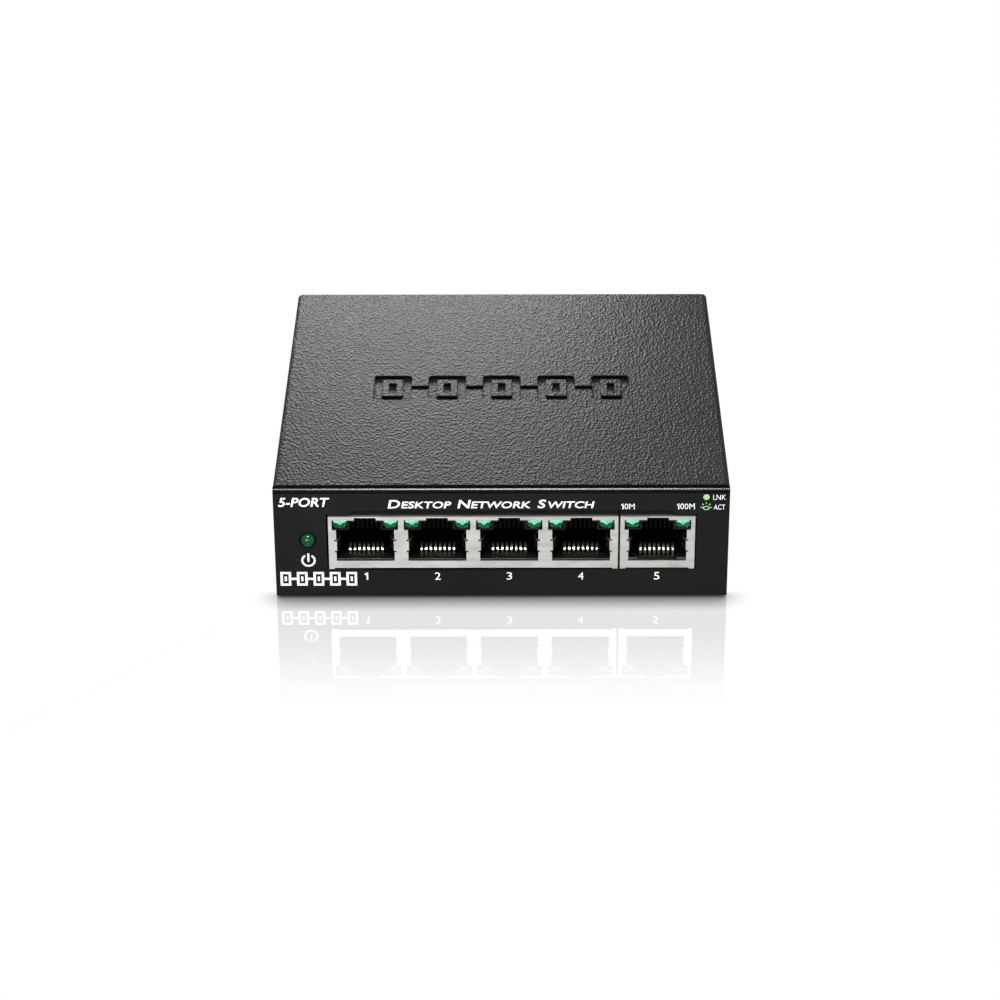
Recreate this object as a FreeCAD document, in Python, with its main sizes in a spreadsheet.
"""Desktop network switch with five sockets, as a parametric assembly of separate pieces.

Millimetres. +Z is up, +Y runs from the front panel to the rear, +X is to the right of a person who faces
the front. The origin is under the middle of the object, on the surface that it stands on.
"""
import FreeCAD, Part
import os
import re

import Sketcher

Vector = FreeCAD.Vector

# Driving sizes, one spreadsheet cell each.
SIZES = {
    # enclosure
    "case_width": 100.0,
    "case_depth": 98.0,
    "case_height": 28.0,
    "foot_proud": 0.4,
    "base_sheet": 1.0,
    "cover_sheet": 0.6,
    "sheet_gap": 0.1,
    "side_gap": 0.2,
    "bend_radius": 1.2,
    "front_foot_radius": 0.7,
    "bend_inside": 0.3,
    "flange_depth": 7.0,
    "side_lip_height": 5.0,
    "side_lip_inset": 5.0,
    "cover_setback": 0.6,
    "side_wall_setback": 1.7,
    "rear_relief_width": 66.0,
    "rear_relief_depth": 1.1,
    # front panel openings
    "cutout_left": -38.5,
    "cutout_right": 42.9,
    "cutout_low": 7.2,
    "cutout_high": 20.9,
    "crown_high": 21.9,
    "crown_left": -32.4,
    "crown_right": 37.1,
    "crown_slope": 1.3,
    "dip_low": 6.9,
    "dip_left": -31.0,
    "dip_right": 18.7,
    "lamp_x": -42.64,
    "lamp_height": 14.5,
    "lamp_radius": 1.6,
    "lamp_hole_radius": 1.9,
    "lamp_proud": 1.2,
    # debossed pictogram in the cover: five linked nodes
    "mark_y": -1.7,
    "mark_length": 59.0,
    "mark_node_width": 8.6,
    "mark_node_height": 12.2,
    "mark_stroke": 1.9,
    "mark_dot_width": 1.6,
    "mark_dot_height": 4.4,
    "mark_corner": 1.0,
    "mark_depth": 0.8,
    "mark_rim": 0.22,
    # ventilation slots in the cover's side walls
    "vent_count": 14.0,
    "vent_pitch": 5.0,
    "vent_width": 1.8,
    "vent_height": 9.0,
    "vent_middle": 14.0,
    # ears and screws that hold the cover
    "ear_width": 9.0,
    "ear_low_gap": 1.5,
    "ear_top_gap": 0.8,
    "screw_x": 45.2,
    "screw_height": 14.0,
    "screw_shank_radius": 1.45,
    "screw_hole_radius": 1.5,
    "ear_hole_radius": 1.7,
    "screw_head_radius": 2.8,
    "screw_head_height": 1.6,
    "screw_head_round": 0.88,
    "screw_length": 5.0,
    "screw_collar_radius": 3.0,
    "screw_collar_length": 1.2,
    "recess_arm": 1.5,
    "recess_width": 0.6,
    "recess_depth": 0.9,
    # rear panel
    "inlet_x": -30.0,
    "inlet_hole_radius": 4.6,
    "lock_x": 30.0,
    "lock_height": 14.0,
    "lock_length": 7.0,
    "lock_width": 3.0,
    # underside
    "foot_x": 40.0,
    "foot_y": 38.0,
    "foot_radius": 5.0,
    "foot_thickness": 1.5,
    "foot_seat_radius": 5.4,
    "keyhole_x": 28.0,
    "keyhole_y": 14.0,
    "keyhole_radius": 3.75,
    "keyhole_slot_width": 3.6,
    "keyhole_slot_length": 9.0,
    "label_y": -20.0,
    "label_length": 40.0,
    "label_width": 24.0,
    "label_corner": 1.5,
    "label_thickness": 0.12,
    # circuit board
    "board_height": 7.6,
    "board_thickness": 1.6,
    "board_width": 94.0,
    "board_front_gap": 0.5,
    "board_rear_gap": 2.0,
    "board_hole_radius": 1.6,
    "post_x": 43.8,
    "post_front": 22.0,
    "post_rear": 25.0,
    "post_radius": 2.5,
    "post_bore_radius": 1.5,
    "board_screw_radius": 1.45,
    "board_screw_head_radius": 2.7,
    "board_screw_head_height": 1.8,
    "board_screw_head_round": 0.9,
    "board_screw_clearance": 1.0,
    "board_corner": 1.0,
    # sockets
    "socket_pitch": 15.84,
    "row_x": -6.2,
    "row_width": 63.74,
    "single_x": 34.35,
    "single_width": 16.4,
    "jack_proud": 0.3,
    "jack_height": 12.9,
    "jack_depth": 21.4,
    "shield_sheet": 0.3,
    "mouth_half_width": 6.4,
    "mouth_low": 1.75,
    "window_half_width": 7.3,
    "window_low": 9.5,
    "window_high": 12.0,
    "notch_half_width": 2.4,
    "notch_high": 12.6,
    "relief_size": 0.4,
    "relief_low": 4.35,
    "relief_high": 6.75,
    "shield_tab_width": 1.2,
    "shield_tab_drop": 0.25,
    "spring_sheet": 0.2,
    "spring_root": 6.25,
    "spring_crest": 5.45,
    "spring_tip": 5.95,
    "spring_crest_depth": 2.0,
    "spring_depth": 4.2,
    # plastic housing of the sockets
    "cavity_half_width": 6.6,
    "cavity_low": 2.1,
    "cavity_depth": 14.0,
    "channel_half_width": 3.45,
    "channel_high": 11.45,
    "notch_depth": 5.0,
    "comb_half_width": 4.6,
    "comb_high": 1.4,
    "trench_length": 1.9,
    "comb_start": 0.35,
    "cut_overlap": 0.1,
    "housing_back_gap": 1.6,
    "corner_lip_width": 2.4,
    "corner_lip_height": 0.5,
    "corner_lip_gap": 0.5,
    # contact wires
    "wire_pitch": 1.02,
    "wire_width": 0.46,
    "wire_thickness": 0.3,
    "row_wire_depth": 3.6,
    "single_wire_depth": 3.3,
    "wire_arm_length": 8.3,
    "wire_arm_slope": 24.0,
    "wire_crown": 2.9,
    "wire_split": 1.55,
    "wire_split_gap": 0.1,
    "wire_run_low": 1.0,
    "wire_run_end": 18.9,
    "wire_bend_outside": 0.6,
    # lamps in the sockets
    "lens_x": 5.55,
    "lens_width": 3.1,
    "lens_height": 2.15,
    "lens_low": 9.7,
    "lens_setback": 0.45,
    "lens_length": 4.4,
    "lens_corner": 0.7,
    "lens_room": 0.05,
    "leg_size": 0.45,
    "leg_spread": 1.27,
    "leg_height": 10.6,
    "leg_tunnel": 0.65,
    "leg_back_gap": 0.4,
    "lamp_rim": 0.35,
    "lamp_rim_length": 1.0,
    "lamp_barrel_behind": 3.0,
    "lamp_leg_run": 3.0,
    "lamp_leg_apart": 0.9,
    "holder_half_width": 2.6,
    "holder_gap": 0.6,
    "holder_length": 3.6,
    "holder_room": 0.4,
    # power inlet
    "inlet_width": 9.0,
    "inlet_height": 10.8,
    "inlet_length": 12.5,
    "inlet_axis": 6.2,
    "inlet_nose_radius": 4.4,
    "inlet_nose_proud": 0.5,
    "inlet_bore_radius": 3.2,
    "inlet_bore_depth": 10.0,
    "inlet_pin_radius": 1.0,
    "inlet_pin_setback": 1.0,
    "inlet_leaf_width": 2.4,
    "inlet_leaf_sheet": 0.25,
    "inlet_leaf_room": 3.0,
    "inlet_leaf_drop": 1.5,
    "inlet_leaf_rise": 0.7,
    "inlet_leaf_low": 0.9,
    "inlet_leaf_start": 2.2,
    "inlet_leaf_crest": 7.0,
    "inlet_leaf_end": 9.2,
    "inlet_room_start": 1.5,
    "inlet_blade_sheet": 0.5,
    "inlet_blade_half": 1.4,
    "inlet_side_blade_start": 6.0,
    "inlet_side_blade_end": 9.0,
    "inlet_side_blade_height": 4.0,
}

# Moulded parts on the board: middle X and Y, width, depth, height, bevel of the top, lift off the board.
MOULDED = {
    "switch_chip": (0, 8, 14, 14, 1.4, 0.3, 0.15),
    "row_magnetics": (-6.2, -17, 28, 13, 5.6, 0.5, 0.15),
    "single_magnetics": (33.5, -17, 12.5, 9.5, 5.6, 0.5, 0.15),
    "settings_memory": (22, 24, 5, 4, 1.4, 0.3, 0.15),
    "voltage_regulator": (-18, 26, 6.5, 3.5, 1.6, 0.3, 0.15),
    "power_inductor": (-19, 37, 7, 7, 3.6, 0.8, 0.15),
    "input_diode": (-36, 24, 4.4, 3.4, 2.2, 0.3, 0),
}

# Leads of the chips: rows as turn, reach and span, then leads in a row, shoulder height, lead width.
LEADS = {
    "switch_chip": ([(0, 7, 12), (90, 7, 12), (180, 7, 12), (270, 7, 12)], 16, 0.7, 0.35),
    "row_magnetics": ([(0, 6.5, 24), (180, 6.5, 24)], 20, 1.2, 0.5),
    "single_magnetics": ([(0, 4.75, 10), (180, 4.75, 10)], 8, 1.2, 0.5),
    "settings_memory": ([(0, 2, 3.8), (180, 2, 3.8)], 4, 0.7, 0.4),
    "voltage_regulator": ([(0, 1.75, 4.6), (180, 1.75, 4.6)], 3, 0.7, 0.8),
}
LEAD_SHEET = 0.15
LEAD_KNEE = 0.5  # from the body to the bend of a lead
LEAD_FOOT = 1.4  # from the body to the tip of a lead

# Round cans on the board: places, radius, height. The crimp groove is the same on both.
CANS = {
    "filter_capacitors": ([(-6, 36), (4, 36)], 3.15, 7.0),
    "input_capacitor": ([(-41.5, 14)], 4.0, 11.5),
}
GROOVE_HEIGHT = 1.2
GROOVE_WIDTH = 0.6
GROOVE_DEPTH = 0.3

# Small parts soldered flat: length along X, width, height.
RESISTOR = (1.6, 0.8, 0.5)
CAPACITOR = (2.0, 1.25, 1.1)

# Clock crystal: left, right, front, rear, height, end radius, top radius.
CRYSTAL = (16.4, 27.4, 9.6, 14.2, 3.4, 2.2, 0.4)

# Places that follow from the driving sizes, each a formula of cells and of places above it.
PLACES = {
    "case_front": "(lamp_proud - case_depth - screw_head_height) / 2",
    "case_back": "case_front + case_depth",
    "case_floor": "foot_proud",
    "inner_floor": "case_floor + base_sheet",
    "cover_top": "foot_proud + case_height",
    "cover_under": "cover_top - cover_sheet",
    "flange_top": "cover_under - sheet_gap",
    "cover_inside": "case_width / 2 - cover_sheet",
    "base_side": "cover_inside - side_gap",
    "rear_face": "case_back - cover_sheet - sheet_gap",
    "board_top": "case_floor + board_height",
    "board_under": "board_top - board_thickness",
    "board_front": "case_front + base_sheet + board_front_gap",
    "board_back": "rear_face - base_sheet - board_rear_gap",
    "jack_face": "case_front - jack_proud",
    "jack_back": "jack_face + jack_depth",
    "inlet_front": "rear_face - base_sheet - inlet_length",
    "inlet_z": "board_top + inlet_axis",
}

DOCUMENT = FreeCAD.newDocument("DesktopSwitch")
NAMES = re.compile(r"[A-Za-z_]+")


def make_sheet():
    """Spreadsheet with one named cell for each driving size."""
    sheet = DOCUMENT.addObject("Spreadsheet::Sheet", "Sizes")
    for row, (name, value) in enumerate(SIZES.items(), 1):
        sheet.set(f"A{row}", name)
        sheet.set(f"B{row}", str(value))
        sheet.setAlias(f"B{row}", name)
    DOCUMENT.recompute()
    return sheet


def bound(formula):
    """Formula with each size or place named in full, ready for setExpression."""

    def full(match):
        word = match.group()
        if word in SIZES:
            return "Sizes." + word
        return "Places." + word if word in PLACES else word

    return NAMES.sub(full, str(formula))


def make_places():
    """Variable set whose values follow the spreadsheet."""
    places = DOCUMENT.addObject("App::VarSet", "Places")
    for name, formula in PLACES.items():
        places.addProperty("App::PropertyFloat", name)
        places.setExpression(name, bound(formula))
    DOCUMENT.recompute()
    return places


SHEET = make_sheet()
PLACE_SET = make_places()


def size(name):
    """Present number of a size or a place, for picking edges."""
    return float(getattr(SHEET if name in SIZES else PLACE_SET, name))


# Sketch planes: role of the origin plane, and whether its normal points along the axis.
PLANES = {"top": ("XY_Plane", True), "front": ("XZ_Plane", False), "side": ("YZ_Plane", True)}
SPARE = 1.0  # how far a cutting outline runs past the face that it cuts


def new_body(label):
    """Empty body of one sub-part."""
    part = DOCUMENT.addObject("PartDesign::Body", label)
    part.Label = label
    return part


def origin_feature(part, role):
    """Plane or axis of a body's own origin."""
    return next(item for item in part.Origin.OriginFeatures if item.Role == role)


def move_to(item, x="0", y="0", z="0"):
    """Place an object by formulas."""
    for axis, formula in zip("xyz", (x, y, z)):
        item.setExpression(f"Placement.Base.{axis}", bound(formula))


def sketch_on(part, plane, level, name):
    """Sketch on a plane: top takes (X, Y), front takes (X, Z) and side takes (Y, Z)."""
    role, along = PLANES[plane]
    drawn = part.newObject("Sketcher::SketchObject", name)
    drawn.AttachmentSupport = [(origin_feature(part, role), "")]
    drawn.MapMode = "FlatFace"
    sign = "" if along else "-"
    drawn.setExpression("AttachmentOffset.Base.z", bound(f"{sign}({level})"))
    return drawn


def pin_point(drawn, geometry, end, x, y):
    """Tie one point of a sketch to formulas, measured from the sketch's origin."""
    for kind, formula in (("DistanceX", x), ("DistanceY", y)):
        index = drawn.addConstraint(Sketcher.Constraint(kind, -1, 1, geometry, end, 1.0))
        drawn.setExpression(f"Constraints[{index}]", bound(formula))


def draw_polygon(drawn, corners):
    """Closed outline of straight lines through corners given as formulas."""
    first = drawn.GeometryCount
    count = len(corners)
    for _ in range(count):
        drawn.addGeometry(Part.LineSegment(Vector(0, 0, 0), Vector(1, 1, 0)), False)
    for step in range(count):
        here, after = first + step, first + (step + 1) % count
        drawn.addConstraint(Sketcher.Constraint("Coincident", here, 2, after, 1))
    for step, (x, y) in enumerate(corners):
        pin_point(drawn, first + step, 1, x, y)


def draw_box(drawn, left, right, low, high):
    """Rectangle between four formulas."""
    draw_polygon(drawn, [(left, low), (right, low), (right, high), (left, high)])


def draw_circle(drawn, x, y, radius):
    """Circle with its centre and radius bound to formulas."""
    index = drawn.addGeometry(Part.Circle(Vector(0, 0, 0), Vector(0, 0, 1), 1.0), False)
    pin_point(drawn, index, 3, x, y)
    limit = drawn.addConstraint(Sketcher.Constraint("Radius", index, 1.0))
    drawn.setExpression(f"Constraints[{limit}]", bound(radius))


def extrude(part, kind, drawn, length, middle=False, back=False):
    """Pad or pocket along the plane's axis; back runs it the other way, middle both ways."""
    role = drawn.AttachmentSupport[0][0].Role
    normal_along = role != "XZ_Plane"
    before = part.Shape.Volume if part.Tip else 0.0
    made = part.newObject("PartDesign::" + kind, drawn.Name + kind)
    made.Profile = drawn
    made.setExpression("Length", bound(length))
    if middle:
        made.SideType = "Symmetric"
    else:
        forward = normal_along != back
        made.Reversed = forward if kind == "Pocket" else not forward
    part.Tip = made
    drawn.Visibility = False
    DOCUMENT.recompute()
    grown = part.Shape.Volume - before
    if (grown <= 0) == (kind == "Pad"):
        raise RuntimeError(f"{made.Name} changed nothing")
    return made


def pad(part, drawn, length, **how):
    """Add material."""
    return extrude(part, "Pad", drawn, length, **how)


def pocket(part, drawn, length, **how):
    """Take material away."""
    return extrude(part, "Pocket", drawn, length, **how)


def repeat_along_x(part, originals, pitch, count, second_pitch=None, second_count=1):
    """Linear pattern along X, with an optional second pitch along X."""
    pattern = part.newObject("PartDesign::LinearPattern", part.Name + "Row")
    pattern.Originals = originals
    axis = (origin_feature(part, "X_Axis"), [""])
    pattern.Direction = axis
    pattern.setExpression("Length", bound(f"({pitch}) * {count - 1}"))
    pattern.Occurrences = count
    if second_count > 1:
        pattern.Direction2 = axis
        pattern.setExpression("Length2", bound(f"({second_pitch}) * {second_count - 1}"))
        pattern.Occurrences2 = second_count
    part.Tip = pattern
    DOCUMENT.recompute()
    return pattern


def edges_at(shape, direction, **place):
    """Names of the straight edges along a direction whose middle lies at the given places."""
    names = []
    for number, edge in enumerate(shape.Edges, 1):
        if edge.Curve.TypeId != "Part::GeomLine":
            continue
        if abs(abs(edge.tangentAt(edge.FirstParameter).dot(direction)) - 1) > 1e-6:
            continue
        middle = edge.valueAt((edge.FirstParameter + edge.LastParameter) / 2)
        if all(abs(getattr(middle, axis) - value) < 0.01 for axis, value in place.items()):
            names.append(f"Edge{number}")
    return names


def edges_on(shape, axis, level):
    """Names of the edges that lie wholly in the plane where one axis has a given value."""
    names = []
    for number, edge in enumerate(shape.Edges, 1):
        box = edge.BoundBox
        low, high = getattr(box, axis + "Min"), getattr(box, axis + "Max")
        if abs(low - level) < 1e-4 and abs(high - level) < 1e-4:
            names.append(f"Edge{number}")
    return names


def round_edges(part, names, radius, kind="Fillet"):
    """Fillet or chamfer named edges of the body's present shape."""
    if not names:
        raise RuntimeError(f"{part.Name}: no edges to round")
    base = part.Tip
    made = part.newObject("PartDesign::" + kind, part.Name + kind)
    made.Base = (base, names)
    made.setExpression("Radius" if kind == "Fillet" else "Size", bound(radius))
    part.Tip = made
    DOCUMENT.recompute()
    return made


ALONG_X = Vector(1, 0, 0)
ALONG_Y = Vector(0, 1, 0)
ALONG_Z = Vector(0, 0, 1)


def round_corner(part, direction, radius, **place):
    """Round every edge along a direction at a place."""
    return round_edges(part, edges_at(part.Shape, direction, **place), radius)


# ---------------------------------------------------------------- enclosure


def chassis_base():
    """Floor, front panel with its top flange, and rear panel, bent from one sheet."""
    part = new_body("chassis_base")
    side = sketch_on(part, "side", 0, "BaseProfile")
    draw_polygon(
        side,
        [
            ("case_front + flange_depth", "flange_top"),
            ("case_front", "flange_top"),
            ("case_front", "case_floor"),
            ("rear_face", "case_floor"),
            ("rear_face", "flange_top"),
            ("rear_face - base_sheet", "flange_top"),
            ("rear_face - base_sheet", "inner_floor"),
            ("case_front + base_sheet", "inner_floor"),
            ("case_front + base_sheet", "flange_top - base_sheet"),
            ("case_front + flange_depth", "flange_top - base_sheet"),
        ],
    )
    pad(part, side, "case_width", middle=True)
    front, rear, sheet = size("case_front"), size("rear_face"), size("base_sheet")
    low, high = size("case_floor"), size("flange_top")
    outer = edges_at(part.Shape, ALONG_X, y=front, z=high)
    outer += edges_at(part.Shape, ALONG_X, y=rear, z=low)
    round_edges(part, outer, "bend_radius")
    round_corner(part, ALONG_X, "front_foot_radius", y=front, z=low)
    inner = edges_at(part.Shape, ALONG_X, y=front + sheet, z=high - sheet)
    inner += edges_at(part.Shape, ALONG_X, y=front + sheet, z=low + sheet)
    inner += edges_at(part.Shape, ALONG_X, y=rear - sheet, z=low + sheet)
    round_edges(part, inner, "bend_inside")
    cut_base_sides(part)
    add_side_lips(part)
    cut_front_panel(part)
    cut_rear_panel(part)
    cut_underside(part)
    return part


def cut_base_sides(part):
    """Narrow everything behind the front bend so that the cover's walls fit beside it."""
    drawn = sketch_on(part, "top", f"case_floor - {SPARE}", "BaseNarrow")
    start = "case_front + bend_radius + sheet_gap"
    for sign in ("", "-"):
        near, far = f"{sign}base_side", f"{sign}(case_width / 2 + {SPARE})"
        draw_box(drawn, near, far, start, f"rear_face + {SPARE}")
    pocket(part, drawn, f"case_height + {2 * SPARE}")


def add_side_lips(part):
    """Low lips folded up along both sides of the floor."""
    drawn = sketch_on(part, "top", "inner_floor - base_sheet / 2", "BaseLips")
    for sign in ("", "-"):
        near, far = f"{sign}(base_side - base_sheet)", f"{sign}base_side"
        draw_box(drawn, near, far, "case_front + side_lip_inset", "rear_face - side_lip_inset")
    pad(part, drawn, "side_lip_height + base_sheet / 2")


def cut_front_panel(part):
    """Stepped cut-out round the sockets and the round hole of the power lamp."""
    drawn = sketch_on(part, "front", f"case_front - {SPARE}", "FrontCutout")
    corners = [
        ("cutout_left", "cutout_low"),
        ("dip_left", "cutout_low"),
        ("dip_left", "dip_low"),
        ("dip_right", "dip_low"),
        ("dip_right", "cutout_low"),
        ("cutout_right", "cutout_low"),
        ("cutout_right", "cutout_high"),
        ("crown_right + crown_slope", "cutout_high"),
        ("crown_right", "crown_high"),
        ("crown_left", "crown_high"),
        ("crown_left - crown_slope", "cutout_high"),
        ("cutout_left", "cutout_high"),
    ]
    draw_polygon(drawn, [(x, f"{height} + case_floor") for x, height in corners])
    draw_circle(drawn, "lamp_x", "lamp_height + case_floor", "lamp_hole_radius")
    pocket(part, drawn, f"base_sheet + {2 * SPARE}")


def cut_rear_panel(part):
    """Collars for the cover's screws, then the holes and the relief in the rear panel."""
    collars = sketch_on(part, "front", "rear_face - base_sheet / 2", "RearCollars")
    for sign in ("", "-"):
        draw_circle(collars, f"{sign}screw_x", "screw_height + case_floor", "screw_collar_radius")
    pad(part, collars, "screw_collar_length + base_sheet / 2", back=True)
    holes = sketch_on(part, "front", f"rear_face + {SPARE}", "RearHoles")
    for sign in ("", "-"):
        draw_circle(holes, f"{sign}screw_x", "screw_height + case_floor", "screw_hole_radius")
    draw_circle(holes, "inlet_x", "inlet_z", "inlet_hole_radius")
    middle = "lock_height + case_floor"
    draw_box(
        holes,
        "lock_x - lock_length / 2",
        "lock_x + lock_length / 2",
        f"{middle} - lock_width / 2",
        f"{middle} + lock_width / 2",
    )
    half = "rear_relief_width / 2"
    draw_box(holes, f"-{half}", half, "flange_top - rear_relief_depth", f"flange_top + {SPARE}")
    pocket(part, holes, f"base_sheet + screw_collar_length + {2 * SPARE}", back=True)


def cut_underside(part):
    """Pressed seats for the feet and two keyholes for hanging the case on a wall."""
    domes = sketch_on(part, "top", "case_floor + base_sheet / 2", "FootDomes")
    seats = sketch_on(part, "top", f"case_floor - {SPARE}", "FootSeats")
    for x in ("foot_x", "-foot_x"):
        for y in ("foot_y", "-foot_y"):
            draw_circle(domes, x, y, "foot_seat_radius + base_sheet")
            draw_circle(seats, x, y, "foot_seat_radius")
    depth = "foot_thickness - foot_proud"
    pad(part, domes, f"base_sheet / 2 + {depth}")
    pocket(part, seats, f"{depth} + {SPARE}")
    holes = sketch_on(part, "top", f"case_floor - {SPARE}", "KeyholeMouths")
    for x in ("keyhole_x", "-keyhole_x"):
        draw_circle(holes, x, "keyhole_y", "keyhole_radius")
    through = f"base_sheet + {2 * SPARE}"
    pocket(part, holes, through)
    slots = sketch_on(part, "top", f"case_floor - {SPARE}", "KeyholeSlots")
    ends = sketch_on(part, "top", f"case_floor - {SPARE}", "KeyholeEnds")
    for x in ("keyhole_x", "-keyhole_x"):
        half, tip = "keyhole_slot_width / 2", "keyhole_y - keyhole_slot_length"
        draw_box(slots, f"{x} - {half}", f"{x} + {half}", tip, "keyhole_y")
        draw_circle(ends, x, tip, half)
    pocket(part, slots, through)
    pocket(part, ends, through)


def top_cover():
    """Top and side walls bent from one sheet, with ears behind the rear panel."""
    part = new_body("top_cover")
    drawn = sketch_on(part, "front", "case_front + cover_setback", "CoverProfile")
    outside, foot = "case_width / 2", "case_floor + side_gap"
    draw_polygon(
        drawn,
        [
            (f"-{outside}", foot),
            (f"-{outside}", "cover_top"),
            (outside, "cover_top"),
            (outside, foot),
            ("cover_inside", foot),
            ("cover_inside", "cover_under"),
            ("-cover_inside", "cover_under"),
            ("-cover_inside", foot),
        ],
    )
    pad(part, drawn, "case_depth - cover_setback")
    trim = sketch_on(part, "side", 0, "CoverFrontTrim")
    start = f"case_front - {SPARE}"
    draw_box(trim, start, "case_front + side_wall_setback", f"case_floor - {SPARE}", "cover_under")
    pocket(part, trim, f"case_width + {2 * SPARE}", middle=True)
    ears = sketch_on(part, "front", "case_back - cover_sheet", "CoverEars")
    for sign in ("", "-"):
        near, far = f"{sign}(case_width / 2 - ear_width)", f"{sign}(case_width / 2)"
        draw_box(ears, near, far, "case_floor + ear_low_gap", "cover_under - ear_top_gap")
    pad(part, ears, "cover_sheet")
    half, top, under = size("case_width") / 2, size("cover_top"), size("cover_under")
    inside, back = size("cover_inside"), size("case_back")
    outer = edges_at(part.Shape, ALONG_Y, x=half, z=top)
    outer += edges_at(part.Shape, ALONG_Y, x=-half, z=top)
    round_edges(part, outer, "bend_radius")
    inner = edges_at(part.Shape, ALONG_Y, x=inside, z=under)
    inner += edges_at(part.Shape, ALONG_Y, x=-inside, z=under)
    round_edges(part, inner, "bend_inside")
    holes = sketch_on(part, "front", f"case_back + {SPARE}", "EarHoles")
    for sign in ("", "-"):
        draw_circle(holes, f"{sign}screw_x", "screw_height + case_floor", "ear_hole_radius")
    pocket(part, holes, f"cover_sheet + {2 * SPARE}", back=True)
    cut_vents(part)
    press_pictogram(part)
    return part


def cut_vents(part):
    """Row of upright slots through both side walls."""
    drawn = sketch_on(part, "side", 0, "VentSlots")
    middle = "vent_middle + case_floor"
    count = int(size("vent_count"))
    for step in range(count):
        y = f"({step} - (vent_count - 1) / 2) * vent_pitch"
        near, far = f"{y} - vent_width / 2", f"{y} + vent_width / 2"
        draw_box(drawn, near, far, f"{middle} - vent_height / 2", f"{middle} + vent_height / 2")
    pocket(part, drawn, f"case_width + {2 * SPARE}", middle=True)


MARK_NODES = 5
MARK_STEP = "((mark_length - mark_node_width) / 4)"


def draw_mark_box(drawn, x, wide, tall):
    """Rectangle of the pictogram round a point on its middle line."""
    draw_box(drawn, f"{x} - {wide}", f"{x} + {wide}", f"mark_y - {tall}", f"mark_y + {tall}")


def mark_node_places():
    """Middle of each node of the pictogram, as formulas."""
    return [f"{step - (MARK_NODES - 1) / 2} * {MARK_STEP}" for step in range(MARK_NODES)]


def draw_rings(drawn, grow):
    """Upright frames; a grown outline is drawn without its inner edge."""
    for x in mark_node_places():
        wide, tall = "mark_node_width / 2", "mark_node_height / 2"
        draw_mark_box(drawn, x, f"({wide} + {grow})", f"({tall} + {grow})")
        if grow == "0":
            draw_mark_box(drawn, x, f"({wide} - mark_stroke)", f"({tall} - mark_stroke)")


def draw_dots(drawn, grow):
    """Short bar in the middle of each frame."""
    for x in mark_node_places():
        draw_mark_box(drawn, x, f"(mark_dot_width / 2 + {grow})", f"(mark_dot_height / 2 + {grow})")


def draw_links(drawn, grow):
    """Bars that join each frame to the next."""
    for x in mark_node_places()[:-1]:
        half = f"(({MARK_STEP} - mark_node_width) / 2 + mark_stroke / 3)"
        draw_mark_box(drawn, f"{x} + {MARK_STEP} / 2", half, f"(mark_stroke / 2 + {grow})")


def press_pictogram(part):
    """Generic network pictogram pressed down into the top, with the sheet bulging below it."""
    for name, draw in (("Rings", draw_rings), ("Links", draw_links)):
        bulge = sketch_on(part, "top", "cover_under + cover_sheet / 2", "Bulge" + name)
        draw(bulge, "cover_sheet")
        pad(part, bulge, "cover_sheet / 2 + mark_depth", back=True)
    for name, draw in (("Rings", draw_rings), ("Dots", draw_dots), ("Links", draw_links)):
        press = sketch_on(part, "top", f"cover_top + {SPARE}", "Press" + name)
        draw(press, "0")
        pocket(part, press, f"mark_depth + {SPARE}", back=True)
    round_mark_corners(part)
    reach = size("mark_length") / 2 + SPARE
    deep = size("mark_node_height") / 2 + SPARE
    rims = []
    for name in edges_on(part.Shape, "Z", size("cover_top")):
        box = part.Shape.getElement(name).BoundBox
        across = max(abs(box.XMin), abs(box.XMax)) < reach
        along = abs((box.YMin + box.YMax) / 2 - size("mark_y")) < deep
        if across and along:
            rims.append(name)
    round_edges(part, rims, "mark_rim")


def round_mark_corners(part):
    """Round the upright corners of the pressed frames, outside and inside."""
    step = (size("mark_length") - size("mark_node_width")) / (MARK_NODES - 1)
    for inset, radius in ((0, "mark_corner"), (size("mark_stroke"), "mark_corner / 2")):
        wide, tall = size("mark_node_width") / 2 - inset, size("mark_node_height") / 2 - inset
        names = []
        for number in range(MARK_NODES):
            x = (number - (MARK_NODES - 1) / 2) * step
            for side in (-1, 1):
                for end in (-1, 1):
                    y = size("mark_y") + end * tall
                    names += edges_at(part.Shape, ALONG_Z, x=x + side * wide, y=y)
        round_edges(part, names, radius)


def draw_cross(drawn, x, y):
    """Cross recess of a screw head."""
    arm, half = "recess_arm", "recess_width / 2"
    corners = [(half, arm), (f"-{half}", arm), (f"-{half}", half), (f"-{arm}", half)]
    corners += [(f"-{arm}", f"-{half}"), (f"-{half}", f"-{half}"), (f"-{half}", f"-{arm}")]
    corners += [(half, f"-{arm}"), (half, f"-{half}"), (arm, f"-{half}"), (arm, half), (half, half)]
    draw_polygon(drawn, [(f"{x} + {dx}", f"{y} + {dy}") for dx, dy in corners])


def cover_screw(label, side):
    """Pan-head screw along Y, its head against the ear."""
    part = new_body(label)
    shank = sketch_on(part, "front", "-screw_length", label + "Shank")
    draw_circle(shank, "0", "0", "screw_shank_radius")
    pad(part, shank, "screw_length")
    head = sketch_on(part, "front", 0, label + "Head")
    draw_circle(head, "0", "0", "screw_head_radius")
    pad(part, head, "screw_head_height")
    round_edges(part, edges_on(part.Shape, "Y", size("screw_head_height")), "screw_head_round")
    recess = sketch_on(part, "front", "screw_head_height - recess_depth", label + "Recess")
    draw_cross(recess, "0", "0")
    pocket(part, recess, f"recess_depth + {SPARE}")
    move_to(part, f"{side}screw_x", "case_back", "screw_height + case_floor")
    return part


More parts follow.
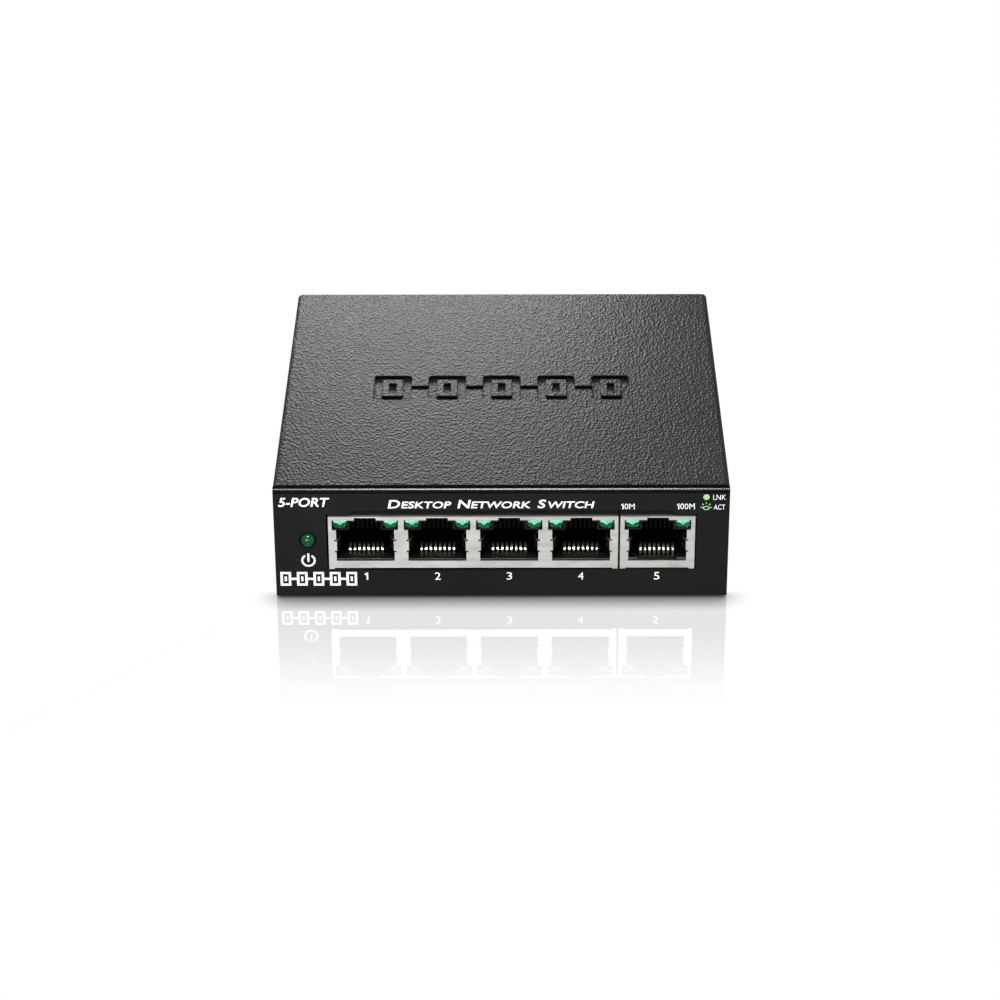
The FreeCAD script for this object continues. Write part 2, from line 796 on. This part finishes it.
def rubber_foot(label, x, y):
    """Round pad seated in the pressed floor."""
    part = new_body(label)
    drawn = sketch_on(part, "top", 0, label + "Disc")
    draw_circle(drawn, "0", "0", "foot_radius")
    pad(part, drawn, "foot_thickness")
    round_edges(part, edges_on(part.Shape, "Z", 0), "foot_proud / 2")
    move_to(part, x, y)
    return part


def rating_label():
    """Thin blank label on the underside."""
    part = new_body("rating_label")
    drawn = sketch_on(part, "top", "case_floor - label_thickness", "LabelSheet")
    half = "label_length / 2"
    draw_box(drawn, f"-{half}", half, "label_y - label_width / 2", "label_y + label_width / 2")
    pad(part, drawn, "label_thickness")
    round_edges(part, edges_at(part.Shape, ALONG_Z), "label_corner")
    return part


# ---------------------------------------------------------------- circuit board and its fixings

POSTS = [(x, y) for y in ("-post_front", "post_rear") for x in ("post_x", "-post_x")]


def circuit_board():
    """Glass-epoxy board with four fixing holes."""
    part = new_body("circuit_board")
    drawn = sketch_on(part, "top", "board_under", "BoardOutline")
    draw_box(drawn, "-board_width / 2", "board_width / 2", "board_front", "board_back")
    for x, y in POSTS:
        draw_circle(drawn, x, y, "board_hole_radius")
    pad(part, drawn, "board_thickness")
    round_edges(part, edges_at(part.Shape, ALONG_Z), "board_corner")
    return part


def board_posts():
    """Four threaded posts that carry the board."""
    part = new_body("board_posts")
    drawn = sketch_on(part, "top", "inner_floor", "PostRings")
    for x, y in POSTS:
        draw_circle(drawn, x, y, "post_radius")
        draw_circle(drawn, x, y, "post_bore_radius")
    pad(part, drawn, "board_under - inner_floor")
    return part


def board_screws():
    """Four pan-head screws through the board into the posts."""
    part = new_body("board_screws")
    shanks = sketch_on(part, "top", "inner_floor + board_screw_clearance", "BoardShanks")
    heads = sketch_on(part, "top", "board_top", "BoardHeads")
    level = "board_top + board_screw_head_height - recess_depth"
    crosses = sketch_on(part, "top", level, "BoardCrosses")
    for x, y in POSTS:
        draw_circle(shanks, x, y, "board_screw_radius")
        draw_circle(heads, x, y, "board_screw_head_radius")
        draw_cross(crosses, x, y)
    pad(part, shanks, "board_top - inner_floor - board_screw_clearance")
    pad(part, heads, "board_screw_head_height")
    face = size("board_top") + size("board_screw_head_height")
    round_edges(part, edges_on(part.Shape, "Z", face), "board_screw_head_round")
    pocket(part, crosses, f"recess_depth + {SPARE}")
    return part


# ---------------------------------------------------------------- sockets


class Jack:
    """One socket block: its label, the middle of its first port, its width and its port count."""

    def __init__(self, label, middle, width, first, ports, wire_depth):
        self.label = label
        self.middle = middle
        self.width = width
        self.first = first
        self.ports = ports
        self.wire_depth = wire_depth


JACKS = [
    Jack("row_jack", "row_x", "row_width", "(row_x - 1.5 * socket_pitch)", 4, "row_wire_depth"),
    Jack("single_jack", "single_x", "single_width", "single_x", 1, "single_wire_depth"),
]


def repeat_ports(part, jack, originals):
    """Repeat features for each port of a block."""
    if jack.ports > 1:
        repeat_along_x(part, originals, "socket_pitch", jack.ports)


def jack_shield(jack):
    """Tinned sheet can, open below, with a mouth and two ground springs for each port."""
    part = new_body(jack.label + "_shield")
    name = jack.label
    half = f"({jack.width}) / 2"
    can = sketch_on(part, "front", "jack_face", name + "Can")
    left, right = f"{jack.middle} - {half}", f"{jack.middle} + {half}"
    draw_box(can, left, right, "board_top", "board_top + jack_height")
    pad(part, can, "jack_depth")
    room = sketch_on(part, "top", f"board_top - {SPARE}", name + "CanRoom")
    inner = f"({half} - shield_sheet)"
    draw_box(
        room,
        f"{jack.middle} - {inner}",
        f"{jack.middle} + {inner}",
        "jack_face + shield_sheet",
        "jack_back - shield_sheet",
    )
    pocket(part, room, f"jack_height - shield_sheet + {SPARE}")
    tabs = sketch_on(part, "front", "jack_face", name + "Tabs")
    for sign in ("-", "+"):
        outer = f"{jack.middle} {sign} {half}"
        near = f"{outer} {'+' if sign == '-' else '-'} shield_tab_width"
        draw_box(tabs, outer, near, "board_top - shield_tab_drop", "board_top + shield_sheet")
    pad(part, tabs, "shield_sheet")
    mouth = sketch_on(part, "front", f"jack_face - {SPARE}", name + "Mouth")
    corners = [
        ("mouth_half_width", "mouth_low"),
        ("mouth_half_width", "relief_low - relief_size"),
        ("mouth_half_width + relief_size", "relief_low - relief_size"),
        ("mouth_half_width + relief_size", "relief_low"),
        ("spring_root", "relief_low"),
        ("spring_root", "relief_high"),
        ("mouth_half_width + relief_size", "relief_high"),
        ("mouth_half_width + relief_size", "relief_high + relief_size"),
        ("mouth_half_width", "relief_high + relief_size"),
        ("mouth_half_width", "window_low"),
        ("window_half_width", "window_low"),
        ("window_half_width", "window_high"),
        ("notch_half_width", "window_high"),
        ("notch_half_width", "notch_high"),
    ]
    outline = [(f"{jack.first} + {x}", f"board_top + {z}") for x, z in corners]
    outline += [(f"{jack.first} - ({x})", f"board_top + {z}") for x, z in reversed(corners)]
    draw_polygon(mouth, outline)
    cut = pocket(part, mouth, f"shield_sheet + {SPARE}")
    springs = sketch_on(part, "top", "board_top + relief_low", name + "Springs")
    for sign in ("+", "-"):
        leaf = [
            ("mouth_half_width + relief_size", "0"),
            ("spring_root", "0"),
            ("spring_crest", "spring_crest_depth"),
            ("spring_tip", "spring_depth"),
            ("spring_tip + spring_sheet", "spring_depth"),
            ("spring_crest + spring_sheet", "spring_crest_depth"),
            ("spring_root + spring_sheet", "shield_sheet"),
            ("mouth_half_width + relief_size", "shield_sheet"),
        ]
        draw_polygon(springs, [(f"{jack.first} {sign} ({x})", f"jack_face + {y}") for x, y in leaf])
    leaves = pad(part, springs, "relief_high - relief_low")
    repeat_ports(part, jack, [cut, leaves])
    return part


def jack_housing(jack):
    """Black moulded block inside the shield, with the plug cavities and lamp seats."""
    part = new_body(jack.label + "_housing")
    name = jack.label
    half = f"(({jack.width}) / 2 - shield_sheet)"
    face = "(jack_face + shield_sheet)"
    length = "(jack_depth - 2 * shield_sheet - housing_back_gap)"
    block = sketch_on(part, "front", face, name + "Block")
    left, right = f"{jack.middle} - {half}", f"{jack.middle} + {half}"
    draw_box(block, left, right, "board_top", "board_top + jack_height - shield_sheet")
    pad(part, block, length)
    cuts = []

    def cut(label, depth, boxes, start=f"{face} - {SPARE}"):
        drawn = sketch_on(part, "front", start, name + label)
        for near, far, low, high in boxes:
            near, far = f"{jack.first} + {near}", f"{jack.first} + {far}"
            draw_box(drawn, near, far, f"board_top + {low}", f"board_top + {high}")
        cuts.append(pocket(part, drawn, depth))

    def centred(half, low, high):
        return [(f"-{half}", half, low, high)]

    def both(near, far, low, high):
        return [(f"({near})", f"({far})", low, high), (f"-({near})", f"-({far})", low, high)]

    deep = f"cavity_depth + {SPARE}"
    cut("Cavity", deep, centred("cavity_half_width", "cavity_low", "window_low"))
    cut("Channel", deep, centred("channel_half_width", "window_low", "channel_high"))
    ceiling = "jack_height - shield_sheet"
    cut("Notch", f"notch_depth + {SPARE}", centred("notch_half_width", "channel_high", ceiling))
    wide = "(lens_width / 2 + lens_room)"
    low, high = "lens_low - lens_room", "lens_low + lens_height + lens_room"
    seats = both(f"lens_x - {wide}", f"lens_x + {wide}", low, high)
    cut("Seats", f"lens_setback + lens_length + {SPARE}", seats)
    half_tunnel = "leg_tunnel / 2"
    low, high = f"leg_height - {half_tunnel}", f"leg_height + {half_tunnel}"
    for sign, label in (("-", "InnerTunnels"), ("+", "OuterTunnels")):
        x = f"lens_x {sign} leg_spread / 2"
        tunnels = both(f"{x} - {half_tunnel}", f"{x} + {half_tunnel}", low, high)
        cut(label, f"{length} + {SPARE}", tunnels)
    start = f"jack_face + {jack.wire_depth} - comb_start"
    comb = centred("comb_half_width", f"(-{SPARE})", "comb_high")
    cut("Comb", "jack_depth", comb, start)
    trench = centred("comb_half_width", "comb_high - cut_overlap", "cavity_low + cut_overlap")
    cut("Trench", "trench_length", trench, start)
    repeat_ports(part, jack, cuts)
    if jack.ports == 1:
        lip = sketch_on(part, "front", f"{face} - {SPARE}", name + "Lip")
        near = "(cavity_half_width - corner_lip_width)"
        low = "board_top + cavity_low - corner_lip_height"
        high = "board_top + cavity_low + cut_overlap"
        draw_box(lip, f"{jack.middle} - {near}", f"{jack.middle} + {near}", low, high)
        pocket(part, lip, f"{jack.wire_depth} - corner_lip_gap + {SPARE}")
    return part


def jack_pins(jack):
    """Fixed ends of the contact wires: up at the front, along under the floor, down to the board."""
    part = new_body(jack.label + "_pins")
    drawn = sketch_on(part, "side", f"{jack.first} - 3.5 * wire_pitch", jack.label + "Pin")
    front, thick = f"jack_face + {jack.wire_depth}", "wire_thickness"
    end = "jack_face + wire_run_end"
    low, high = "board_top + wire_run_low", "board_top + wire_split - wire_split_gap"
    draw_polygon(
        drawn,
        [
            (front, low),
            (front, high),
            (f"{front} + {thick}", high),
            (f"{front} + {thick}", f"{low} + {thick}"),
            (f"{end} + {thick}", f"{low} + {thick}"),
            (f"{end} + {thick}", "board_top"),
            (end, "board_top"),
            (end, low),
        ],
    )
    wire = pad(part, drawn, "wire_width", middle=True)
    repeat_along_x(part, [wire], "wire_pitch", 8, "socket_pitch", jack.ports)
    return part


def port_contacts(number, jack, x):
    """Eight sprung arms of one port, which rise to the rear from a bend at the front."""
    part = new_body(f"port_{number}_contacts")
    drawn = sketch_on(part, "side", f"{x} - 3.5 * wire_pitch", f"Arm{number}")
    front, thick, slope = f"jack_face + {jack.wire_depth}", "wire_thickness", "wire_arm_slope"
    crown, reach = "board_top + wire_crown", "wire_arm_length"
    low = "board_top + wire_split"
    draw_polygon(
        drawn,
        [
            (front, low),
            (front, crown),
            (f"{front} + {reach} * cos({slope})", f"{crown} + {reach} * sin({slope})"),
            (
                f"{front} + {reach} * cos({slope}) + {thick} * sin({slope})",
                f"{crown} + {reach} * sin({slope}) - {thick} * cos({slope})",
            ),
            (f"{front} + {thick}", f"{crown} + {thick} * tan({slope}) - {thick} / cos({slope})"),
            (f"{front} + {thick}", low),
        ],
    )
    arm = pad(part, drawn, "wire_width", middle=True)
    y, z = size("jack_face") + size(jack.wire_depth), size("board_top") + size("wire_crown")
    bend = round_corner(part, ALONG_X, "wire_bend_outside", y=y, z=z)
    repeat_along_x(part, [arm, bend], "wire_pitch", 8)
    return part


def port_lamps(number, x):
    """Two green lenses of one port."""
    part = new_body(f"port_{number}_lamps")
    drawn = sketch_on(part, "front", "jack_face + lens_setback", f"Lens{number}")
    low = "board_top + lens_low"
    for sign in ("+", "-"):
        middle = f"{x} {sign} lens_x"
        near, far = f"{middle} - lens_width / 2", f"{middle} + lens_width / 2"
        draw_box(drawn, near, far, low, f"{low} + lens_height")
    pad(part, drawn, "lens_length")
    lower = edges_at(part.Shape, ALONG_Y, z=size("board_top") + size("lens_low"))
    round_edges(part, lower, "lens_corner")
    return part


def bent_leg(part, name, x, start, end, level):
    """Square leg of a lamp at one X: level from start to end, then down to the board."""
    drawn = sketch_on(part, "side", x, name)
    draw_polygon(
        drawn,
        [
            (start, f"{level} - leg_size / 2"),
            (f"{end} - leg_size", f"{level} - leg_size / 2"),
            (f"{end} - leg_size", "board_top"),
            (end, "board_top"),
            (end, f"{level} + leg_size / 2"),
            (start, f"{level} + leg_size / 2"),
        ],
    )
    return pad(part, drawn, "leg_size", middle=True)


def lamp_legs(jack):
    """Legs of the lamps: back through the housing, then down behind it to the board."""
    part = new_body(jack.label + "_lamp_legs")
    start = "jack_face + lens_setback + lens_length"
    end = "jack_back - shield_sheet - leg_back_gap"
    legs = []
    for lens in ("- lens_x", "+ lens_x"):
        for side in ("-", "+"):
            x = f"{jack.first} {lens} {side} leg_spread / 2"
            name = f"{jack.label}Leg{len(legs)}"
            legs.append(bent_leg(part, name, x, start, end, "board_top + leg_height"))
    repeat_ports(part, jack, legs)
    return part


# ---------------------------------------------------------------- power lamp


def power_lamp():
    """Round green lamp: dome, barrel and rim."""
    part = new_body("power_lamp")
    barrel = sketch_on(part, "front", "-lamp_proud", "LampBarrel")
    draw_circle(barrel, "0", "0", "lamp_radius")
    pad(part, barrel, "lamp_proud + base_sheet + lamp_barrel_behind")
    rim_start = "base_sheet + lamp_barrel_behind - lamp_rim_length"
    rim = sketch_on(part, "front", rim_start, "LampRim")
    draw_circle(rim, "0", "0", "lamp_radius + lamp_rim")
    pad(part, rim, "lamp_rim_length")
    nose = edges_on(part.Shape, "Y", -size("lamp_proud"))
    round_edges(part, nose, "lamp_radius * 0.85")
    move_to(part, "lamp_x", "case_front", "lamp_height + case_floor")
    return part


def power_lamp_holder():
    """Black block that holds the power lamp above the board."""
    part = new_body("power_lamp_holder")
    drawn = sketch_on(part, "front", "case_front + base_sheet + holder_gap", "HolderBlock")
    middle, half = "lamp_height + case_floor", "holder_half_width"
    draw_box(drawn, f"lamp_x - {half}", f"lamp_x + {half}", "board_top", f"{middle} + {half}")
    draw_circle(drawn, "lamp_x", middle, "lamp_radius + holder_room")
    pad(part, drawn, "holder_length")
    return part


def power_lamp_legs():
    """Two legs from the lamp down to the board."""
    part = new_body("power_lamp_legs")
    start = "case_front + base_sheet + lamp_barrel_behind"
    end = f"{start} + lamp_leg_run"
    for sign, name in (("-", "LeftLampLeg"), ("+", "RightLampLeg")):
        x = f"lamp_x {sign} lamp_leg_apart"
        bent_leg(part, name, x, start, end, "lamp_height + case_floor")
    return part


# ---------------------------------------------------------------- power inlet


def inlet_housing():
    """Moulded block of the barrel socket, with its round nose through the rear panel."""
    part = new_body("inlet_housing")
    block = sketch_on(part, "front", "inlet_front", "InletBlock")
    half = "inlet_width / 2"
    left, right = f"inlet_x - {half}", f"inlet_x + {half}"
    draw_box(block, left, right, "board_top", "board_top + inlet_height")
    pad(part, block, "inlet_length - sheet_gap")
    root = "2 * sheet_gap"
    nose = sketch_on(part, "front", f"inlet_front + inlet_length - {root}", "InletNose")
    draw_circle(nose, "inlet_x", "inlet_z", "inlet_nose_radius")
    pad(part, nose, f"base_sheet + inlet_nose_proud + {root}")
    mouth = "rear_face + inlet_nose_proud"
    bore = sketch_on(part, "front", f"{mouth} + {SPARE}", "InletBore")
    draw_circle(bore, "inlet_x", "inlet_z", "inlet_bore_radius")
    pocket(part, bore, f"inlet_bore_depth + {SPARE}", back=True)
    room = sketch_on(part, "front", "inlet_front + inlet_room_start", "InletLeafRoom")
    wide = "inlet_leaf_room / 2"
    low = "inlet_z - inlet_bore_radius - inlet_leaf_drop"
    draw_box(room, f"inlet_x - {wide}", f"inlet_x + {wide}", low, "inlet_z - inlet_bore_radius / 2")
    pocket(part, room, "inlet_length - 2 * inlet_room_start")
    return part


def inlet_pin():
    """Centre pin of the inlet, rooted in the end wall of the bore."""
    part = new_body("inlet_pin")
    mouth = "rear_face + inlet_nose_proud"
    drawn = sketch_on(part, "front", f"{mouth} - inlet_bore_depth", "InletPin")
    draw_circle(drawn, "inlet_x", "inlet_z", "inlet_pin_radius")
    pad(part, drawn, "inlet_bore_depth - inlet_pin_setback")
    tip = size("rear_face") + size("inlet_nose_proud") - size("inlet_pin_setback")
    round_edges(part, edges_on(part.Shape, "Y", tip), "inlet_pin_radius / 2")
    return part


def inlet_leaf():
    """Leaf spring that presses on the barrel of a plug from below."""
    part = new_body("inlet_leaf")
    drawn = sketch_on(part, "side", "inlet_x", "InletLeaf")
    start, crest = "inlet_front + inlet_leaf_start", "inlet_front + inlet_leaf_crest"
    end = "inlet_front + inlet_leaf_end"
    low = "inlet_z - inlet_bore_radius - inlet_leaf_low"
    high = "inlet_z - inlet_bore_radius + inlet_leaf_rise"
    thick = "inlet_leaf_sheet"
    draw_polygon(
        drawn,
        [
            (start, low),
            (crest, high),
            (end, f"{low} + 2 * {thick}"),
            (end, f"{low} + {thick}"),
            (crest, f"{high} - {thick}"),
            (start, f"{low} - {thick}"),
        ],
    )
    pad(part, drawn, "inlet_leaf_width", middle=True)
    return part


def inlet_terminals():
    """Two solder blades under the back of the inlet and one at its side."""
    part = new_body("inlet_terminals")
    half, sheet = "inlet_blade_half", "inlet_blade_sheet"
    drawn = sketch_on(part, "front", f"inlet_front - {sheet}", "InletBlades")
    draw_box(drawn, f"inlet_x - {half}", f"inlet_x + {half}", "board_top", f"inlet_z + {half}")
    pad(part, drawn, sheet)
    side = sketch_on(part, "side", "inlet_x + inlet_width / 2", "InletSideBlade")
    near, far = "inlet_front + inlet_side_blade_start", "inlet_front + inlet_side_blade_end"
    draw_box(side, near, far, "board_top", "board_top + inlet_side_blade_height")
    pad(part, side, sheet)
    return part


# ---------------------------------------------------------------- components on the board


def moulded_block(label, x, y, wide, deep, tall, bevel, lift):
    """Rectangular component body with bevelled top edges."""
    part = new_body(label)
    drawn = sketch_on(part, "top", f"board_top + {lift}", label + "Plan")
    draw_box(drawn, x - wide / 2, x + wide / 2, y - deep / 2, y + deep / 2)
    pad(part, drawn, tall)
    rim = edges_on(part.Shape, "Z", size("board_top") + lift + tall)
    round_edges(part, rim, bevel, kind="Chamfer")
    return part


def lead_row(label, x, y, row, count, shoulder, width):
    """Row of gull-wing leads on one side of a chip, made on its +Y side and then turned."""
    part = new_body(label)
    turn, reach, span = row
    drawn = sketch_on(part, "side", -span / 2, label + "Lead")
    foot, knee, top = reach + LEAD_FOOT, reach + LEAD_KNEE, shoulder + LEAD_SHEET
    corners = [(reach, top), (reach, shoulder), (knee, shoulder), (knee, 0), (foot, 0)]
    corners += [(foot, LEAD_SHEET), (knee + LEAD_SHEET, LEAD_SHEET), (knee + LEAD_SHEET, top)]
    draw_polygon(drawn, corners)
    lead = pad(part, drawn, width, middle=True)
    repeat_along_x(part, [lead], span / (count - 1), count)
    part.Placement = FreeCAD.Placement(Vector(x, y, 0), FreeCAD.Rotation(ALONG_Z, turn))
    part.setExpression("Placement.Base.z", bound("board_top"))
    return part


def chip_leads(chip, rows, count, shoulder, width):
    """All the lead rows of one chip as one sub-part."""
    x, y = MOULDED[chip][:2]
    label = chip + "_leads"
    made = [lead_row(f"{label}_{row[0]}", x, y, row, count, shoulder, width) for row in rows]
    group = DOCUMENT.addObject("Part::Compound", label)
    group.Label = label
    group.Links = made
    return group


def round_cans(label, places, radius, height):
    """Round cans standing on the board, each with a crimp groove."""
    part = new_body(label)
    drawn = sketch_on(part, "top", "board_top", label + "Cans")
    for x, y in places:
        draw_circle(drawn, x, y, radius)
    pad(part, drawn, height)
    ring = sketch_on(part, "top", f"board_top + {GROOVE_HEIGHT}", label + "Grooves")
    for x, y in places:
        draw_circle(ring, x, y, radius + SPARE)
        draw_circle(ring, x, y, radius - GROOVE_DEPTH)
    pocket(part, ring, GROOVE_WIDTH)
    return part


def chip_passives(label, places, dimensions):
    """Small rectangular parts soldered flat on the board, long side along X."""
    part = new_body(label)
    length, width, height = dimensions
    drawn = sketch_on(part, "top", "board_top", label + "Plan")
    for x, y in places:
        draw_box(drawn, x - length / 2, x + length / 2, y - width / 2, y + width / 2)
    pad(part, drawn, height)
    return part


def crystal():
    """Low metal can of the clock crystal, with rounded ends."""
    part = new_body("clock_crystal")
    left, right, front, rear, height, end_radius, top_radius = CRYSTAL
    drawn = sketch_on(part, "top", "board_top", "CrystalPlan")
    draw_box(drawn, left, right, front, rear)
    pad(part, drawn, height)
    round_edges(part, edges_at(part.Shape, ALONG_Z), end_radius)
    round_edges(part, edges_on(part.Shape, "Z", size("board_top") + height), top_radius)
    return part


def resistor_places():
    """Series resistors by the row, pull-ups by the single socket and a column beside the chip."""
    places = [(x, -5.5 if x % 4 else -4.0) for x in range(-18, 10, 2)]
    places += [(28 + 3 * step, -8.5) for step in range(4)]
    places += [(-14, 2 + 2.2 * step) for step in range(6)]
    return places


def capacitor_places():
    """Decoupling capacitors round the switch chip and filters by the power parts."""
    places = [(12.5, 2 + 2.4 * step) for step in range(3)]
    places += [(x, 20) for x in (-8, -4, 0, 4, 8)]
    places += [(-27, 20), (-27, 23), (-10, 29), (13, 31), (13, 34), (34, 12), (34, 16)]
    return places


def components():
    """Everything soldered on the board apart from the sockets and the inlet."""
    made = [moulded_block(label, *values) for label, values in MOULDED.items()]
    made += [chip_leads(chip, *values) for chip, values in LEADS.items()]
    made += [round_cans(label, *values) for label, values in CANS.items()]
    made.append(crystal())
    made.append(chip_passives("chip_resistors", resistor_places(), RESISTOR))
    made.append(chip_passives("chip_capacitors", capacitor_places(), CAPACITOR))
    return made


# ---------------------------------------------------------------- assembly


def sub_parts():
    """Every sub-part, in the order in which the object goes together."""
    made = [chassis_base(), board_posts(), circuit_board(), board_screws()]
    number = 0
    for jack in JACKS:
        made += [jack_housing(jack), jack_pins(jack), lamp_legs(jack), jack_shield(jack)]
        for step in range(jack.ports):
            number += 1
            x = f"{jack.first} + {step} * socket_pitch"
            made += [port_contacts(number, jack, x), port_lamps(number, x)]
    made += [power_lamp_holder(), power_lamp(), power_lamp_legs()]
    made += [inlet_housing(), inlet_pin(), inlet_leaf(), inlet_terminals()]
    made += components()
    made.append(top_cover())
    made += [cover_screw("cover_screw_left", "-"), cover_screw("cover_screw_right", "")]
    for row, y in (("front", "-foot_y"), ("rear", "foot_y")):
        made.append(rubber_foot(f"foot_{row}_left", "-foot_x", y))
        made.append(rubber_foot(f"foot_{row}_right", "foot_x", y))
    made.append(rating_label())
    return made


def write_parts(parts):
    """Check every object and every shape, then write one file for each sub-part."""
    DOCUMENT.recompute()
    for item in DOCUMENT.Objects:
        if "Invalid" in item.State or "Error" in item.State:
            raise RuntimeError(f"{item.Name}: {item.State}")
    for part in parts:
        if part.Shape.isNull() or not part.Shape.isValid():
            raise RuntimeError(f"{part.Label} has no valid shape")
    os.makedirs("parts", exist_ok=True)
    for part in parts:
        part.Shape.exportStep(f"parts/{part.Label}.step")
        box = part.Shape.BoundBox
        sides = (round(side, 2) for side in (box.XLength, box.YLength, box.ZLength))
        print(part.Label, len(part.Shape.Solids), "solids", *sides)


write_parts(sub_parts())
